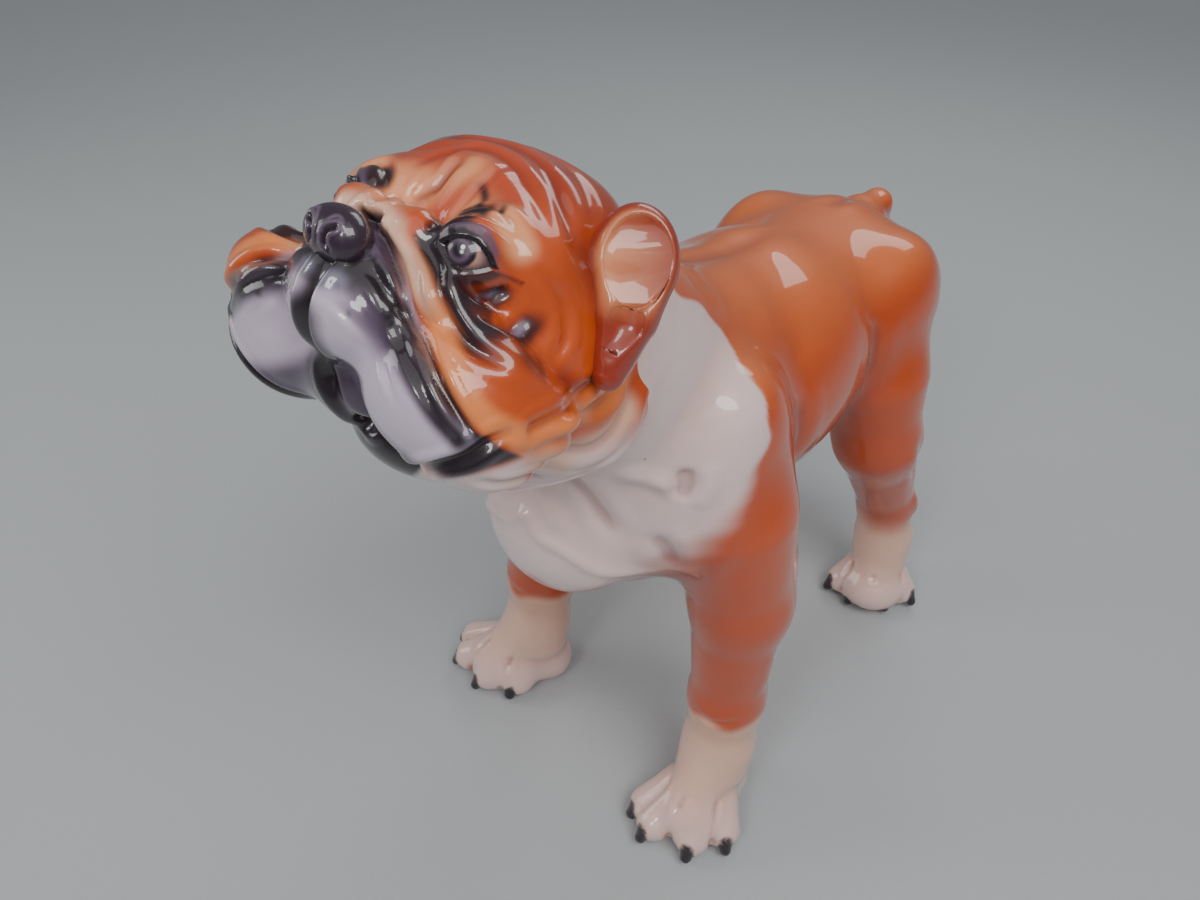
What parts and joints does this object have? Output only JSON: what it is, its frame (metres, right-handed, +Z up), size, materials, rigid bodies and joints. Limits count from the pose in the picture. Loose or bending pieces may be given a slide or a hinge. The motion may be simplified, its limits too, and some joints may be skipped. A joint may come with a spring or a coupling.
{
  "type": "ceramic dog figurine",
  "caption": "Hollow glazed ceramic dog standing on its paws, with a broad wrinkled head, cupped ears and painted glass-smooth eyes.",
  "frame": {"origin": "centre of the overall box in X and Y, at the ground under the paws", "axes": "+X to the dog's left, +Y from the muzzle to the rump, +Z up; the muzzle points along -Y"},
  "size_m": [0.2774, 0.4984, 0.5059],
  "materials": {
    "glaze": "gloss",
    "nose_glaze": "gloss",
    "eye_glaze": "gloss"
  },
  "bodies": {
    "root": {"torso": "glaze", "tail": "glaze", "head": "glaze", "nose": "nose_glaze", "left_eye": "eye_glaze", "right_eye": "eye_glaze", "left_ear": "glaze", "right_ear": "glaze", "front_left_leg": "glaze", "front_right_leg": "glaze", "rear_left_leg": "glaze", "rear_right_leg": "glaze"}
  },
  "joints": []
}
